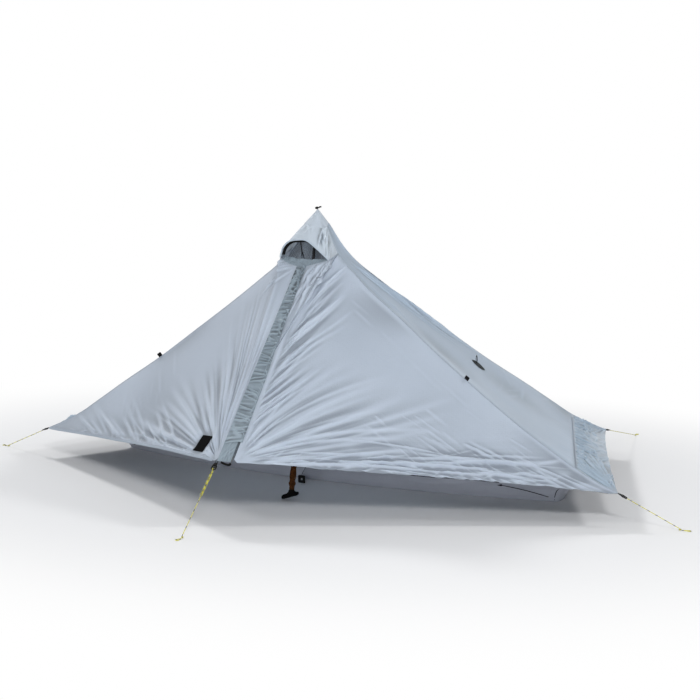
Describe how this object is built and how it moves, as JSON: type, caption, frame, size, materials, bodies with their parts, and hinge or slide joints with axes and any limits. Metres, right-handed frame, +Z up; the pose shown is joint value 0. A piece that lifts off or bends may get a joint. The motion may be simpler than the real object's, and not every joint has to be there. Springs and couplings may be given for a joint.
{
  "type": "backpacking tent",
  "caption": "One-person pyramid tent pitched on a trekking pole, with a zipped door flap, hooded peak vent, net inner wall, bathtub floor, and guylines staked out.",
  "frame": {"origin": "on the ground, under the middle of the tent's box without its free lines", "axes": "+X along the sleeper, to the right seen from the door; +Y from the door to the back; +Z up"},
  "size_m": [3.4809, 2.9566, 1.2435],
  "materials": {
    "canopy": "pale blue-grey coated ripstop nylon with a soft sheen",
    "storm": "crinkled coated nylon, a shade darker",
    "floor": "dark grey coated nylon, matt",
    "netting": "fine dark insect netting",
    "webbing": "black woven webbing",
    "buckle": "black moulded plastic",
    "tape": "dark zip tape with plastic teeth",
    "slider": "dark painted metal",
    "line": "yellow braided cord with dark flecks",
    "cord": "dark elastic cord",
    "shaft": "black coated aluminium tube",
    "grip": "brown foam",
    "head": "black moulded rubber",
    "badge": "plain black patch"
  },
  "bodies": {
    "tent": {"left_flap": "canopy", "zip_gusset": "canopy", "zip_strip": "canopy", "end_wall_right": "canopy", "end_wall_left": "canopy", "end_skirt_right": "canopy", "end_skirt_left": "canopy", "back_wall_right": "canopy", "back_wall_left": "canopy", "vent_hood": "canopy", "vent_rim": "canopy", "vent_lip": "canopy", "peak_cap": "canopy", "storm_flap": "storm", "bathtub_floor": "floor", "net_wall_left": "netting", "net_wall_right": "netting", "net_skirt": "netting", "webbing_front": "webbing", "webbing_right": "webbing", "webbing_left": "webbing", "webbing_rear_right": "webbing", "webbing_rear_left": "webbing", "webbing_back": "webbing", "ridge_tab_right": "webbing", "ridge_tab_left": "webbing", "guyout_right": "webbing", "guyout_left": "webbing", "grommet_tab": "webbing", "pole_cup": "webbing", "buckle_front": "buckle", "buckle_right": "buckle", "buckle_left": "buckle", "buckle_rear_right": "buckle", "buckle_rear_left": "buckle", "buckle_back": "buckle", "lock_lower": "buckle", "zip_left": "tape", "guyline_front": "line", "guyline_right": "line", "guyline_left": "line", "guyline_rear_right": "line", "tab_cord": "cord", "floor_tie_right": "cord", "floor_tie_left": "cord", "pole_upper": "shaft", "pole_grip": "grip", "pole_head": "head", "badge": "badge"},
    "door": {"door_flap": "canopy", "zip_right": "tape"},
    "slider": {"zip_slider": "slider"},
    "pull": {"zip_pull": "slider"},
    "net_door": {"net_door": "netting"},
    "vent_prop": {"vent_prop": "webbing"},
    "pole_middle": {"pole_middle": "shaft", "lock_upper": "buckle"},
    "pole_lower": {"pole_lower": "shaft"},
    "lever_lower": {"lever_lower": "buckle"},
    "lever_upper": {"lever_upper": "buckle"}
  },
  "joints": [
    {"name": "door_hinge", "type": "hinge", "parent": "tent", "child": "door", "pos_m": [0.10395, -0.27163, 1.04012], "axis": [-0.8235, 0.0486, 0.5653], "range_deg": [0, 110], "deforming": ["storm_flap"]},
    {"name": "zip_slide", "type": "slide", "parent": "tent", "child": "slider", "axis": [-0.0521, 0.6906, 0.7214], "range_m": [0, 0.95], "deforming": ["storm_flap"]},
    {"name": "zip_pull_hinge", "type": "hinge", "parent": "slider", "child": "pull", "pos_m": [0.05065, -1.0765, 0.27318], "axis": [-0.9126, -0.3262, 0.2463], "range_deg": [0, 75]},
    {"name": "net_door_hinge", "type": "hinge", "parent": "tent", "child": "net_door", "pos_m": [0.022, -0.26581, 0.95], "axis": [-0.7203, -0.0879, 0.688], "range_deg": [0, 60]},
    {"name": "vent_prop_hinge", "type": "hinge", "parent": "tent", "child": "vent_prop", "pos_m": [-0.02, -0.3887, 1.10038], "axis": [-1, 0, 0], "range_deg": [0, 80]},
    {"name": "pole_middle_slide", "type": "slide", "parent": "tent", "child": "pole_middle", "axis": [-0.043, 0.2656, 0.9631], "range_m": [-0.3, 0]},
    {"name": "pole_lower_slide", "type": "slide", "parent": "pole_middle", "child": "pole_lower", "axis": [-0.043, 0.2656, 0.9631], "range_m": [-0.3, 0]},
    {"name": "lock_lower_lever", "type": "hinge", "parent": "tent", "child": "lever_lower", "pos_m": [0.03128, -0.44362, 0.52687], "axis": [0.9991, 0.0114, 0.0415], "range_deg": [0, 100]},
    {"name": "lock_upper_lever", "type": "hinge", "parent": "pole_middle", "child": "lever_upper", "pos_m": [0.01581, -0.34912, 0.87328], "axis": [0.9991, 0.0114, 0.0415], "range_deg": [0, 100]}
  ]
}
